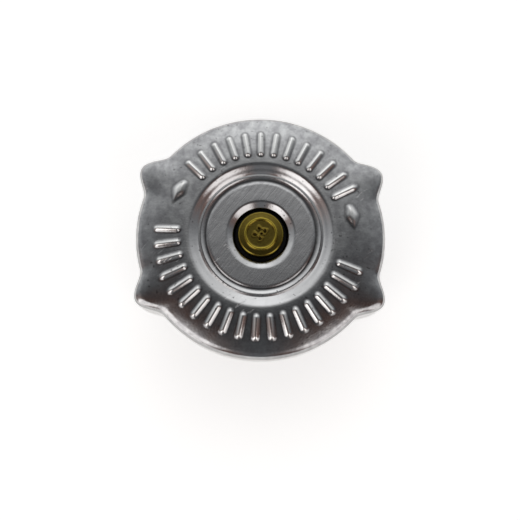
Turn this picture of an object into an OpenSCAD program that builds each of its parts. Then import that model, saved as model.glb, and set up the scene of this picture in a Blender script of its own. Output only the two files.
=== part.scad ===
// Pressure cap for a radiator filler neck.
// A pressed steel shell with four grip ears turns on a brass rivet. The rivet carries a spring disc,
// a rubber neck gasket and a bell. The bell holds the pressure valve, which lifts against the main
// spring, and the pressure valve holds the vacuum valve, which drops against a light spring.
// Z is up and the origin is on the axis, on the sealing face of the pressure seal.

/* [Filler neck] */
// Bore of the filler neck that the pressure valve drops into
neck_bore_d = 43; // [42.5:0.5:46]
// Height of the neck gasket's sealing face above the pressure seal's face, at rest
neck_reach = 22.6; // [21.6:0.1:26]
// Depth of the locking tabs' upper face below the neck gasket's sealing face
cam_depth = 6.2; // [5.6:0.1:7.6]

/* [Shell] */
// Diameter of the round body between the ears
body_d = 64; // [62:0.5:70]
// How far the round body swells at the sides and falls in at front and back
body_oval = 0.25; // [0:0.05:0.4]
// Thickness of the pressed sheet
sheet_t = 0.9; // [0.7:0.05:1]
// Outer radius of the bend from crown to skirt
rim_radius = 2.8; // [2:0.1:3.4]
// Slope of the crown where it meets the rim bend, in degrees
crown_slope = 14; // [8:1:18]
// Height of the crest, the crown's highest circle, above the flat centre plate
crest_h = 1.1; // [0.7:0.1:1.8]
// Diameter of the flat centre plate
plate_d = 27.2; // [25:0.2:31]
// Width of the sloping edge of the centre plate, down to the bead's foot
plate_edge_w = 0.6; // [0.4:0.05:0.8]
// Width of the raised bead round the centre plate
bead_w = 1.9; // [1.8:0.1:2.3]
// Width of the bead's inner flank, which rises gently to its crest
bead_rise_w = 1.15; // [0.9:0.05:1.3]
// Height of the bead above the groove inside it
bead_h = 0.3; // [0.2:0.05:0.5]
// Depth of the groove inside the bead, below the centre plate
groove_depth = 0.2; // [0.1:0.05:0.3]
// Depth of the valley outside the bead, below the centre plate
valley_depth = 0.45; // [0.3:0.05:0.6]
// Width of the flat valley outside the bead
valley_w = 0.4; // [0.3:0.1:1]
// Width of the slope from the valley up to the crest
slope_w = 2.6; // [2.2:0.1:3]
// Radial gap between the rivet head and the well that it sits in
well_gap = 1.2; // [1:0.1:1.8]
// Depth of the well below the centre plate
well_depth = 3.4; // [2.8:0.1:4.2]
// Radius of the rounded lip round the well's mouth
lip_radius = 3.1; // [2.4:0.1:3.4]
// Slope of the lip where it breaks off into the well, in degrees
lip_angle = 42; // [36:1:48]
// Radius of the corner at the well's floor
well_corner_r = 0.4; // [0.2:0.1:0.6]

/* [Ears] */
// Angle of each ear from the X axis, in degrees
ear_angle = 29; // [27:1:33]
// How far an ear stands out of the round body
ear_reach = 4; // [2.6:0.1:5]
// Width of an ear along the rim, at its root
ear_base_w = 13.6; // [11:0.2:15]
// How far inside the round body the crown starts to be drawn out into the ears
ear_root_w = 6.5; // [4:0.5:9]

/* [Skirt and locking tabs] */
// How much higher the skirt ends at front and back than at the ears
skirt_rise = 2.5; // [0.6:0.1:3.4]
// Radial gap between the neck gasket and the tips of the two locking tabs
tab_gap = 0.1; // [0:0.05:1]

/* [Grip ribs] */
// Number of raised ribs along the back of the crown
back_ribs = 13; // [6:1:13]
// Number of raised ribs along the front of the crown
front_ribs = 19; // [6:1:19]
// Angle of the middle of the back row from the X axis, in degrees
back_row_angle = 82; // [80:1:84]
// Angle of the middle of the front row from the X axis, in degrees
front_row_angle = 259; // [256:1:270]
// Angle from one rib to the next, in degrees
rib_pitch = 9; // [7:0.5:9.5]
// Length of a rib, along the radius
rib_len = 6.6; // [4:0.2:7.2]
// Width of a rib
rib_w = 1.5; // [1:0.1:1.7]
// Height of a rib above the crown
rib_h = 0.5; // [0.3:0.05:0.7]
// Distance from the crest to the ribs
rib_start = 1.5; // [0.8:0.1:2]

/* [Darts] */
// Angle of the raised dart on the right from the X axis, in degrees
right_dart_angle = 12; // [8:1:13]
// Angle of the raised dart on the left from the X axis, in degrees
left_dart_angle = 153; // [151:1:158]
// Length of a dart, round the crown
dart_len = 6.4; // [4:0.2:6.6]
// Width of a dart across its barbs
dart_w = 3.8; // [2.4:0.2:4.4]
// Width of a dart's tail
dart_tail_w = 1.6; // [1:0.1:2]

/* [Rivet] */
// Diameter of the rivet head
head_d = 11.7; // [11:0.1:13]
// Height of the rivet head above its washer
head_h = 3.6; // [2.8:0.1:4]
// Width of the flat step round the raised ring on the head
head_step_w = 1.5; // [1.2:0.1:1.8]
// Width of the raised ring on the head
head_ring_w = 0.9; // [0.6:0.1:1.2]
// Height of the bevels on the head and the tail
rivet_bevel = 0.35; // [0.2:0.05:0.5]
// Depth of the dish inside the raised ring, and of the step round it
head_dish = 0.45; // [0.3:0.05:0.7]
// Diameter of the shoulder that the shell turns on
shoulder_d = 6.8; // [6.2:0.1:7.6]
// Width of the step from the shoulder down to the shank
shoulder_step = 0.8; // [0.5:0.1:1.2]
// Width of the clinched tail under the bell
tail_w = 2; // [1.4:0.1:3]
// Thickness of the clinched tail
tail_h = 0.9; // [0.6:0.1:1.4]
// Thickness of the rubber washer under the head
washer_t = 0.7; // [0.5:0.1:1]

/* [Neck seal] */
// How far the neck gasket's edge lies inside the spring disc's edge
gasket_inset = 1.7; // [1:0.1:2.4]
// Thickness of the neck gasket's web
gasket_t = 1; // [0.8:0.1:1.4]
// Height of the sealing rib under the gasket
gasket_rib_h = 0.5; // [0.3:0.1:0.8]
// Width of the sealing rib
gasket_rib_w = 5; // [3:0.2:6]
// Radial gap between the spring disc and the shell's skirt
disc_gap = 2.9; // [2:0.1:3.6]
// Thickness of the spring disc
disc_t = 0.5; // [0.4:0.05:0.7]
// Height of the spring disc's turned-up edge
disc_edge_h = 0.8; // [0.4:0.1:1.4]

/* [Bell] */
// Thickness of the bell's sheet
bell_t = 0.8; // [0.6:0.05:1]
// How far the bell's lower lip turns in
bell_lip_w = 3; // [2.6:0.1:3.4]
// Outer radius of the bell's top corner
bell_corner_r = 1.8; // [1.2:0.1:2.4]
// Number of windows in the bell's wall
window_count = 4; // [3:1:6]
// Width of a window, round the bell
window_w = 13; // [8:0.5:14]
// Height of a window's lower edge above the lip
window_foot = 4; // [3.4:0.1:6]
// Depth of a window's upper edge below the roof
window_head = 3.2; // [2.6:0.1:5]
// Radius of a window's corners
window_r = 1.6; // [0.8:0.1:1.9]

/* [Pressure valve] */
// Travel of the pressure valve from rest to full lift
valve_lift = 6; // [4:0.1:6.4]
// Thickness of the rubber pressure seal
seal_t = 3; // [2.8:0.1:3.6]
// Depth of the seal plate's rim round the seal
seal_rim_h = 1.6; // [0.8:0.1:2]
// Thickness of the seal plate
seal_plate_t = 0.8; // [0.6:0.05:1]
// Thickness of the spring follower
follower_t = 0.8; // [0.6:0.05:1]
// Thickness of the ferrule's flanges
ferrule_t = 0.7; // [0.5:0.05:0.8]
// Width of the ferrule's lower flange
flange_w = 5.3; // [4:0.1:6]
// Width of the ferrule's clinched upper edge
clinch_w = 2.1; // [1.4:0.1:2.6]
// How far the ferrule's lower flange lies above the sealing face
ferrule_set_back = 0.3; // [0.2:0.05:0.5]
// Wire diameter of the main spring
main_wire_d = 2.2; // [1.6:0.1:2.3]
// Number of turns of the main spring
main_turns = 4.4; // [3.5:0.1:4.5]

/* [Vacuum valve] */
// Height of the vacuum valve's disc above the pressure seal's face
vacuum_set_back = 0.5; // [0.3:0.05:0.7]
// Width of the ferrule's seat for the vacuum valve
seat_w = 2.5; // [1.8:0.1:3]
// Thickness of the vacuum valve's disc
vacuum_disc_t = 1; // [0.7:0.1:1.1]
// Thickness of the rubber ring on the vacuum valve's disc
vacuum_seal_t = 0.9; // [0.7:0.1:1]
// Diameter of the vacuum valve's stem
stem_d = 2.8; // [2.2:0.1:3.2]
// Wire diameter of the vacuum spring
vacuum_wire_d = 0.6; // [0.4:0.05:0.7]
// Number of turns of the vacuum spring
vacuum_turns = 5; // [4:0.5:6]
// Height of the vacuum spring with the valve closed
vacuum_spring_h = 7.9; // [7:0.1:8.6]
// Thickness of the keeper that holds the vacuum spring on the stem
keeper_t = 0.6; // [0.4:0.05:0.8]
// Height of the keeper's skirt round the spring's end
keeper_skirt_h = 0.8; // [0.5:0.1:1.2]
// Height of the stem's peened end above the keeper
peen_h = 0.7; // [0.5:0.1:1]

/* [Clearances] */
// Gap above and below the shell's floor, so that the shell turns on the rivet
swivel_gap = 0.1; // [0.05:0.05:0.2]
// Radial gap between the rivet's shoulder and the shell
bore_gap = 0.05; // [0.02:0.01:0.1]
// Radial gap between the follower and the bell that it slides in, and beside each spring
slide_gap = 0.4; // [0.2:0.05:0.5]
// Radial gap between the main spring and the ferrule's clinched edge
coil_gap = 1.7; // [0.8:0.1:2.4]
// Radial gap between the vacuum valve's disc and the ferrule's barrel
nest_gap = 0.7; // [0.4:0.05:1]
// Radial gap between the stem and the hole in the ferrule's seat
stem_gap = 1.6; // [1:0.1:2]
// Radial gap between the pressure valve and the neck's bore
neck_gap = 1; // [0.6:0.1:1.4]
// Radial gap between pieces that are pressed or clinched together
fit_gap = 0.02; // [0.01:0.01:0.04]

/* [Hidden] */
$fn = 96;

// Heights, from the pressure seal's face upwards
seal_plate_z = seal_t;
follower_z = seal_plate_z + seal_plate_t;
follower_floor_z = follower_z + follower_t;
lip_z = follower_z + valve_lift;
follower_rim_z = lip_z + bell_t;
gasket_z = neck_reach + gasket_rib_h;
bell_roof_z = gasket_z - bell_t;
disc_z = gasket_z + gasket_t;
shoulder_z = disc_z + disc_t;
shell_floor_z = shoulder_z + swivel_gap;
well_z = shell_floor_z + sheet_t;
washer_z = well_z + swivel_gap;
head_z = washer_z + washer_t;
plate_z = well_z + well_depth;
groove_z = plate_z - groove_depth;
valley_z = plate_z - valley_depth;
crest_z = plate_z + crest_h;
tab_top_z = neck_reach - cam_depth;
skirt_z = tab_top_z - sheet_t;
vacuum_seal_z = vacuum_set_back + vacuum_disc_t;
ferrule_seat_z = vacuum_seal_z + vacuum_seal_t;
spring_seat_z = ferrule_seat_z + ferrule_t;
keeper_z = spring_seat_z + vacuum_spring_h;
keeper_top_z = keeper_z + keeper_t;

// Radii of the shell and what it turns on, from the rivet outwards
body_r = body_d / 2;
shoulder_r = shoulder_d / 2;
shank_r = shoulder_r - shoulder_step;
mid_hole_r = shank_r + fit_gap;
head_r = head_d / 2;
hole_r = shoulder_r + bore_gap;
well_r = head_r + well_gap;
plate_r = plate_d / 2;
groove_r = plate_r + plate_edge_w;
valley_r = groove_r + bead_w;
slope_r = valley_r + valley_w;
crest_r = slope_r + slope_w;
rim_start_r = body_r - rim_radius * (1 - sin(crown_slope));
crown_drop = (rim_start_r - crest_r) * tan(crown_slope) / 2;
ear_root_r = body_r - ear_root_w;
disc_r = body_r - sheet_t - disc_gap;
gasket_r = disc_r - gasket_inset;
tab_r = gasket_r + tab_gap;
rib_r = crest_r + rib_start + rib_len / 2;

// Radii of the valves and the bell, from the stem outwards
stem_r = stem_d / 2;
stem_hole_r = stem_r + stem_gap;
vacuum_disc_r = stem_hole_r + seat_w;
nest_r = vacuum_disc_r + nest_gap;
barrel_r = nest_r + ferrule_t;
barrel_hole_r = barrel_r + fit_gap;
clinch_r = barrel_r + clinch_w;
ferrule_r = barrel_r + flange_w;
pocket_z = ferrule_set_back + ferrule_t;
main_spring_r = clinch_r + coil_gap + main_wire_d / 2;
follower_cup_r = main_spring_r + main_wire_d / 2 + slide_gap + follower_t;
bell_mouth_r = follower_cup_r + slide_gap;
bell_r = bell_mouth_r + bell_lip_w;
bell_bore_r = bell_r - bell_t;
follower_rim_r = bell_bore_r - slide_gap;
seal_plate_r = neck_bore_d / 2 - neck_gap;
seal_r = seal_plate_r - seal_plate_t - fit_gap;
vacuum_spring_r = stem_hole_r + slide_gap + vacuum_wire_d;
keeper_bore_r = vacuum_spring_r + vacuum_wire_d / 2 + slide_gap;
keeper_r = keeper_bore_r + keeper_t;

// Angles round the shell, closer together across the ears
ear_half = ear_base_w / body_r * 90 / PI;
ear_step = 2;
arc_step = 5;
ear_angles = [ear_angle, 180 - ear_angle, 180 + ear_angle, 360 - ear_angle];
tall_half = ear_angle + ear_half;
tab_half = ear_angle - ear_half;

// Evenly spaced values from a to b, without b
function span(a, b, step) =
    let (n = ceil((b - a) / step)) [for (i = [0 : n - 1]) a + (b - a) * i / n];
function half_turn_angles() = concat(
    span(-tall_half, -tab_half, ear_step),
    span(-tab_half, tab_half, arc_step),
    span(tab_half, tall_half, ear_step),
    [tall_half],
    span(tall_half + ear_step, 180 - tall_half - ear_step, arc_step),
    [180 - tall_half - ear_step]
);
shell_angles = [for (turn = [0, 180], a = half_turn_angles()) a + turn];

// Points along an arc, both ends included
function arc(centre, radius, from, to, n) =
    [for (i = [0 : n]) centre + radius * [cos(from + (to - from) * i / n), sin(from + (to - from) * i / n)]];
function smooth(x) = let (c = min(max(x, 0), 1)) c * c * (3 - 2 * c);
function unit(v) = v / norm(v);

// A sheet's underside: each point of its top line moved by t, square to the line
function left_normal(a, b) = let (u = unit(b - a)) [-u[1], u[0]];
function underside(line, t) = [
    for (i = [0 : len(line) - 1])
        let (
            before = left_normal(line[max(i - 1, 0)], line[max(i, 1)]),
            after = left_normal(line[min(i, len(line) - 2)], line[min(i + 1, len(line) - 1)]),
            middle = unit(before + after)
        )
        line[i] - middle * t / (middle * after)
];
function reversed(list) = [for (i = [len(list) - 1 : -1 : 0]) list[i]];
function sheet_section(line, t) = concat(line, reversed(underside(line, t)));

// Crown height at radius r, between the crest and the rim bend
function crown_z(r) = crest_z - crown_drop * pow((r - crest_r) / (rim_start_r - crest_r), 2);

// Top line of the shell's centre: floor, well, lip, plate, groove, bead and valley
joint_overlap = valley_w / 4;
bead_steps = 4;
bead_curve = 1.6;
lip_mid = [well_r + lip_radius * sin(lip_angle), plate_z - lip_radius];
well_line = concat(
    [[hole_r, well_z]],
    arc([well_r - well_corner_r, well_z + well_corner_r], well_corner_r, -90, 0, 4)
);
centre_line = concat(
    well_line,
    arc(lip_mid, lip_radius, 90 + lip_angle, 90, 6),
    [[plate_r, plate_z]],
    [for (i = [0 : bead_steps])
        let (x = i / bead_steps)
        [groove_r + bead_rise_w * x, groove_z + bead_h * pow(x, bead_curve)]],
    [[valley_r, valley_z], [slope_r - joint_overlap, valley_z]]
);

// The centre's underside, which runs straight below the bead
lip_under_radius = lip_radius - sheet_t;
lip_under_angle = asin((lip_mid[0] - well_r - sheet_t) / lip_under_radius);
centre_under = concat(
    underside(concat(well_line, [[well_r, well_z + 2 * well_corner_r]]), sheet_t),
    arc(lip_mid, lip_under_radius, 90 + lip_under_angle, 90, 4),
    [[plate_r, plate_z - sheet_t], [valley_r, valley_z - sheet_t], [slope_r - joint_overlap, valley_z - sheet_t]]
);

// Top line of the shell's outer part, which overlaps the centre in the valley:
// slope up to the crest, crown, rim bend and skirt
slope_steps = 6;
slope_round = 1.5;
crown_steps = 4;
outer_line = concat(
    [[valley_r + joint_overlap, valley_z]],
    [for (i = [0 : slope_steps])
        let (x = i / slope_steps)
        [slope_r + slope_w * x, valley_z + (crest_z - valley_z) * (1 - pow(1 - x, slope_round))]],
    [for (i = [1 : crown_steps - 1])
        let (r = crest_r + (rim_start_r - crest_r) * i / crown_steps) [r, crown_z(r)]],
    arc([body_r - rim_radius, crest_z - crown_drop - rim_radius * cos(crown_slope)],
        rim_radius, 90 - crown_slope, 0, 5),
    [[body_r, skirt_z]]
);
outer_section = sheet_section(outer_line, sheet_t);
outer_pull = [for (p = outer_line) smooth((p[0] - ear_root_r) / (body_r - ear_root_r))];
section_pull = concat(outer_pull, reversed(outer_pull));

// Share of the full ear at an angle: a smooth swell on each of the four ears
function swell(d) = abs(d) < ear_half ? (1 + cos(180 * d / ear_half)) / 2 : 0;
function ear_share(a) = max([for (e = ear_angles, turn = [-360, 0, 360]) swell(a + turn - e)]);
function from_x_axis(a) = abs((a + 450) % 180 - 90);
function between_ears(a) = from_x_axis(a) > tall_half + ear_step / 2 ? 1 : 0;

// One section of the shell's outer part at angle a, drawn out where an ear is
function shell_section(a) = [
    for (i = [0 : len(outer_section) - 1])
        let (
            p = outer_section[i],
            draw = ear_reach * ear_share(a) + body_oval * cos(2 * a),
            r = p[0] + draw * section_pull[i],
            on_edge = p[1] < skirt_z + sheet_t / 2,
            z = p[1] + (on_edge ? skirt_rise * between_ears(a) : 0)
        )
        [r * cos(a), r * sin(a), z]
];

// A skin over closed loops of points, joined end to end or capped at both ends
module skin(loops, joined) {
    n = len(loops[0]);
    rows = len(loops);
    last = joined ? rows - 1 : rows - 2;
    sides = [
        for (j = [0 : last], k = [0 : n - 1])
            let (here = j * n, there = ((j + 1) % rows) * n, next = (k + 1) % n)
            each [[here + k, there + next, here + next], [here + k, there + k, there + next]]
    ];
    caps = joined ? [] : [[for (k = [0 : n - 1]) k], [for (k = [n - 1 : -1 : 0]) (rows - 1) * n + k]];
    polyhedron(points = [for (l = loops) each l], faces = concat(sides, caps), convexity = 6);
}

// A round piece turned from a section of [radius, height] points
module turned(section) {
    rotate_extrude() polygon(section);
}

// A washer
module ring(inner_r, outer_r, z, height) {
    turned([[inner_r, z], [outer_r, z], [outer_r, z + height], [inner_r, z + height]]);
}

// A coil spring with closed end turns, standing on z
module coil(mean_r, wire_d, turns, z, height, steps_per_turn, sides) {
    end_rise = wire_d * 1.06;
    rise = height - wire_d;
    active_rise = (rise - 2 * end_rise) / (turns - 2);
    count = round(turns * steps_per_turn);
    function wire_z(turn) = end_rise * (min(turn, 1) + max(turn - turns + 1, 0))
        + active_rise * min(max(turn - 1, 0), turns - 2);
    skin([
        for (i = [0 : count])
            let (turn = turns * i / count, mid = z + wire_d / 2 + wire_z(turn))
            [for (k = [0 : sides - 1])
                let (b = 360 * k / sides, r = mean_r + wire_d / 2 * cos(b))
                [r * cos(360 * turn), r * sin(360 * turn), mid + wire_d / 2 * sin(b)]]
    ], false);
}

// Turns a raised mark to its angle and lays it on the sloping crown
module on_crown(angle) {
    tilt = atan((crown_z(rib_r - rib_len / 2) - crown_z(rib_r + rib_len / 2)) / rib_len);
    rotate(angle) translate([rib_r, 0, crown_z(rib_r)]) rotate([0, tilt, 0]) children();
}

// A raised mark with a bevelled top, from its outline at the foot and its outline at the top
module raised_mark(foot, top, height) {
    function level(outline, z) = [for (p = outline) [p[0], p[1], z]];
    skin([level(foot, -sheet_t / 2), level(foot, height / 2), level(top, height)], false);
}

// One grip rib: a round-ended bar along the radius
module grip_rib() {
    end = (rib_len - rib_w) / 2;
    function outline(r) = concat(arc([end, 0], r, -90, 90, 5), arc([-end, 0], r, 90, 270, 5));
    raised_mark(outline(rib_w / 2), outline(rib_w / 2 - rib_h / 2), rib_h);
}

// The two rows of grip ribs, along the back and the front of the crown
module grip_ribs() {
    for (row = [[back_row_angle, back_ribs], [front_row_angle, front_ribs]], i = [0 : row[1] - 1])
        on_crown(row[0] + rib_pitch * (i - (row[1] - 1) / 2)) grip_rib();
}

// One plain dart, pointing along +Y: widest across its barbs, with a narrow flat tail
module dart() {
    tip = dart_len / 2;
    barb = dart_w / 2;
    tail = dart_tail_w / 2;
    bevel = rib_h / 2;
    raised_mark(
        [[0, tip], [-barb, 0], [-tail, -tip], [tail, -tip], [barb, 0]],
        [[0, tip - 2 * bevel], [bevel - barb, 0], [bevel - tail, bevel - tip],
            [tail - bevel, bevel - tip], [barb - bevel, 0]],
        rib_h
    );
}

// The two darts, which point away from the back row
module darts() {
    on_crown(left_dart_angle) dart();
    on_crown(right_dart_angle) rotate(180) dart();
}

// The two tabs that are folded in under the neck's cams, between the ears on each side
module locking_tabs() {
    for (side = [0, 180])
        rotate(side - tab_half)
            rotate_extrude(angle = 2 * tab_half)
                translate([tab_r, skirt_z]) square([body_r + body_oval / 2 - sheet_t / 2 - tab_r, sheet_t]);
}

module shell() {
    color("#b4b6b8") union() {
        turned(concat(centre_line, reversed(centre_under)));
        skin([for (a = shell_angles) shell_section(a)], true);
        locking_tabs();
        grip_ribs();
        darts();
    }
}

// Brass rivet: head with a flat step, a raised ring and staking pits, shoulder, shank and clinched tail
module crown_rivet() {
    top_z = head_z + head_h;
    tail_z = bell_roof_z - tail_h;
    tail_r = shank_r + tail_w;
    ring_r = head_r - head_step_w;
    dish_r = ring_r - head_ring_w;
    dish_z = top_z - head_dish;
    ring_bevel = rivet_bevel / 2;
    stake_r = dish_r / 3;
    stake_depth = head_dish;
    color("#b08d2e") difference() {
        turned([
            [0, tail_z], [tail_r - rivet_bevel, tail_z], [tail_r, tail_z + rivet_bevel],
            [tail_r, bell_roof_z], [shank_r, bell_roof_z], [shank_r, shoulder_z],
            [shoulder_r, shoulder_z], [shoulder_r, head_z],
            [head_r, head_z], [head_r, dish_z - rivet_bevel], [head_r - rivet_bevel, dish_z],
            [ring_r, dish_z], [ring_r - ring_bevel, top_z - ring_bevel / 2],
            [ring_r - head_ring_w / 2, top_z], [dish_r + ring_bevel, top_z - ring_bevel / 2],
            [dish_r, dish_z], [0, dish_z]
        ]);
        for (a = [0 : 90 : 270])
            rotate(a) translate([stake_r, 0, dish_z - stake_depth])
                cylinder(r1 = stake_depth / 4, r2 = stake_depth * 1.25, h = stake_depth * 1.2, $fn = 24);
    }
}

module rivet_washer() {
    color("#111111") ring(shoulder_r + fit_gap, well_r - well_corner_r, washer_z, washer_t);
}

// Spring steel disc with a stiffening bend near its edge
module spring_disc() {
    edge_w = disc_edge_h * 1.6;
    line = [
        [mid_hole_r, shoulder_z], [disc_r - edge_w, shoulder_z],
        [disc_r - edge_w / 2, shoulder_z + disc_edge_h / 3], [disc_r, shoulder_z + disc_edge_h]
    ];
    color("#c3c2bd") turned(sheet_section(line, disc_t));
}

// Rubber disc with a flat sealing rib for the rim of the neck
module neck_gasket() {
    rib_edge = gasket_rib_h / 2;
    rib_inner_r = gasket_r - gasket_rib_w;
    color("#1c1c1e") turned([
        [mid_hole_r, gasket_z], [rib_inner_r - rib_edge, gasket_z], [rib_inner_r, neck_reach],
        [gasket_r - rib_edge, neck_reach], [gasket_r, gasket_z], [gasket_r, disc_z], [mid_hole_r, disc_z]
    ]);
}

// A rounded window, cut through the bell's wall along X
module bell_window() {
    w = window_w / 2 - window_r;
    low = lip_z + window_foot + window_r;
    high = gasket_z - window_head - window_r;
    rotate([90, 0, 90])
        linear_extrude(2 * bell_r)
            polygon(concat(
                arc([w, high], window_r, 0, 90, 5), arc([-w, high], window_r, 90, 180, 5),
                arc([-w, low], window_r, 180, 270, 5), arc([w, low], window_r, 270, 360, 5)
            ));
}

// Pressed bell: roof on the rivet, windowed wall, and a lip turned in under the follower
module spring_bell() {
    lip_corner_r = bell_t + 0.3;
    line = concat(
        [[mid_hole_r, gasket_z]],
        arc([bell_r - bell_corner_r, gasket_z - bell_corner_r], bell_corner_r, 90, 0, 6),
        arc([bell_r - lip_corner_r, lip_z + lip_corner_r], lip_corner_r, 0, -90, 5),
        [[bell_mouth_r, lip_z]]
    );
    color("#a9aaa8") difference() {
        turned(sheet_section(line, bell_t));
        for (i = [0 : window_count - 1]) rotate((i + 0.5) * 360 / window_count) bell_window();
    }
}

module main_spring() {
    color("#8d8f92")
        coil(main_spring_r, main_wire_d, main_turns, follower_floor_z, bell_roof_z - follower_floor_z, 24, 8);
}

// Dished plate under the main spring: its rim rests on the bell's lip and its cup reaches the seal plate
module spring_follower() {
    corner_r = follower_t + 0.2;
    line = concat(
        [[barrel_hole_r, follower_z]],
        arc([follower_cup_r - corner_r, follower_z + corner_r], corner_r, -90, 0, 5),
        [[follower_cup_r, follower_rim_z], [follower_rim_r, follower_rim_z]]
    );
    color("#b9bab6") turned(concat(line, reversed(underside(line, -follower_t))));
}

// Shallow pressed cup that backs the pressure seal and holds its edge
module seal_plate() {
    corner_r = seal_plate_t + 0.2;
    line = concat(
        [[barrel_hole_r, follower_z]],
        arc([seal_plate_r - corner_r, follower_z - corner_r], corner_r, 90, 0, 5),
        [[seal_plate_r, seal_plate_z - seal_rim_h]]
    );
    color("#c0c0bc") turned(sheet_section(line, seal_plate_t));
}

// Rubber seal: flat face for the ledge in the neck, and a pocket for the ferrule's flange
module pressure_seal() {
    edge = 0.5;
    pocket_r = ferrule_r + 0.2;
    corner = 0.4;
    color("#18181a") turned([
        [barrel_hole_r, pocket_z], [pocket_r, pocket_z], [pocket_r + edge, 0],
        [seal_r - edge, 0], [seal_r, edge], [seal_r, seal_plate_z - corner],
        [seal_r - corner, seal_plate_z], [barrel_hole_r, seal_plate_z]
    ]);
}

// Brass ferrule: lower flange, barrel with the vacuum valve's seat inside it, and clinched upper edge
module valve_ferrule() {
    bevel = ferrule_t / 3;
    clinch_z = follower_floor_z + ferrule_t;
    color("#b08d2e") turned([
        [nest_r, ferrule_set_back], [ferrule_r - bevel, ferrule_set_back],
        [ferrule_r, ferrule_set_back + bevel], [ferrule_r, pocket_z], [barrel_r, pocket_z],
        [barrel_r, follower_floor_z], [clinch_r, follower_floor_z], [clinch_r, clinch_z - bevel],
        [clinch_r - bevel, clinch_z], [nest_r, clinch_z], [nest_r, spring_seat_z],
        [stem_hole_r, spring_seat_z], [stem_hole_r, ferrule_seat_z], [nest_r, ferrule_seat_z]
    ]);
}

module vacuum_spring() {
    color("#9fa1a3")
        coil(vacuum_spring_r, vacuum_wire_d, vacuum_turns, spring_seat_z, vacuum_spring_h, 18, 6);
}

// Brass plunger: disc, stem, and a peened end over the keeper
module vacuum_valve() {
    bevel = vacuum_disc_t / 4;
    peen_r = stem_r + peen_h * 0.7;
    color("#b8963a") turned([
        [0, vacuum_set_back], [vacuum_disc_r - bevel, vacuum_set_back],
        [vacuum_disc_r, vacuum_set_back + bevel], [vacuum_disc_r, vacuum_seal_z],
        [stem_r, vacuum_seal_z], [stem_r, keeper_top_z], [peen_r, keeper_top_z],
        [stem_r, keeper_top_z + peen_h], [0, keeper_top_z + peen_h]
    ]);
}

module vacuum_seal() {
    color("#18181a") ring(stem_r + fit_gap, vacuum_disc_r, vacuum_seal_z, vacuum_seal_t);
}

// Small pressed cup, open downwards, that locates the top of the vacuum spring
module spring_keeper() {
    color("#b5b6b8") turned([
        [stem_r + fit_gap, keeper_z], [keeper_bore_r, keeper_z], [keeper_bore_r, keeper_z - keeper_skirt_h],
        [keeper_r, keeper_z - keeper_skirt_h], [keeper_r, keeper_top_z], [stem_r + fit_gap, keeper_top_z]
    ]);
}

shell();
crown_rivet();
rivet_washer();
spring_disc();
neck_gasket();
spring_bell();
main_spring();
spring_follower();
seal_plate();
pressure_seal();
valve_ferrule();
vacuum_spring();
vacuum_valve();
vacuum_seal();
spring_keeper();
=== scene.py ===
import math

import bmesh
import bpy
import numpy as np
from mathutils import Matrix, Vector


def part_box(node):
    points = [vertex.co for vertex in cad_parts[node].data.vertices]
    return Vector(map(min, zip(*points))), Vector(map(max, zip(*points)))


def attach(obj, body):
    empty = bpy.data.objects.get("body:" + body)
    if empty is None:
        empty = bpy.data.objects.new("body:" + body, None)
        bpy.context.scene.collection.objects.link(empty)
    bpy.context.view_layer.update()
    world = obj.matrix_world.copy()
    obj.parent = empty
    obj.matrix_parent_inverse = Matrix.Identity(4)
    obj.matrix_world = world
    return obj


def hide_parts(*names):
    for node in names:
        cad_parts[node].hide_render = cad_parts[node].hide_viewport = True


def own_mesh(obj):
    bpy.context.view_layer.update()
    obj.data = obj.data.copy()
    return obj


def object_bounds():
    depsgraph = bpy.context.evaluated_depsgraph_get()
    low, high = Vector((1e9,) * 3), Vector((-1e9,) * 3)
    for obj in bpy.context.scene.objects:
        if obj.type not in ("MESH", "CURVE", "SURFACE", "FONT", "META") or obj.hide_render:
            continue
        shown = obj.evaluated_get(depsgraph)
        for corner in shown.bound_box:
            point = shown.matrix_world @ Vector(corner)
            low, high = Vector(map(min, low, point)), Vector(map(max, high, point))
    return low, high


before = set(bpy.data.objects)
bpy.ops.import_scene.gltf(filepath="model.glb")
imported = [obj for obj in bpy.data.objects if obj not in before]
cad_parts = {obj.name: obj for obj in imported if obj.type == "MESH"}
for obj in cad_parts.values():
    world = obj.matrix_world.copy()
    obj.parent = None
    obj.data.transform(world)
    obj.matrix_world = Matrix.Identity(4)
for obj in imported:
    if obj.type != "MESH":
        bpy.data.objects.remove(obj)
cad_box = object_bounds()

# Vacuum plunger: turned from brass rod, with a flat disc at its foot and a stem.
# The stem's upper end is peened over the keeper, so the plunger hangs on its own spring.
mm = 0.001
tiny = 0.001 * mm
plunger_low, plunger_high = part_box("vacuum_valve")
plunger_disc_r = plunger_high.x
plunger_disc_t = 1.0 * mm
plunger_disc_top = plunger_low.z + plunger_disc_t
plunger_bevel = 0.25 * mm
stem_r = 1.4 * mm
peen_r = 1.89 * mm
peen_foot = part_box("spring_keeper")[1].z


def turned(section, easing, steps):
    """A round piece: a closed section of (radius, height) corners, with its edges eased, spun about Z."""
    bm = bmesh.new()
    bm.faces.new([bm.verts.new((radius, 0, height)) for radius, height in section])
    bmesh.ops.bevel(
        bm, geom=[v for v in bm.verts if v.co.x > tiny], offset=easing, offset_type="OFFSET",
        affect="VERTICES", segments=3, profile=0.5, material=-1, clamp_overlap=True,
    )
    bmesh.ops.delete(bm, geom=bm.faces[:], context="FACES_ONLY")
    axis_edges = [e for e in bm.edges if max(v.co.x for v in e.verts) < tiny]
    bmesh.ops.delete(bm, geom=axis_edges, context="EDGES")
    bmesh.ops.spin(
        bm, geom=bm.verts[:] + bm.edges[:], cent=(0, 0, 0), axis=(0, 0, 1),
        angle=math.tau, steps=steps, use_merge=True,
    )
    bmesh.ops.remove_doubles(bm, verts=bm.verts, dist=tiny)
    bmesh.ops.recalc_face_normals(bm, faces=bm.faces)
    return bm


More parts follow.
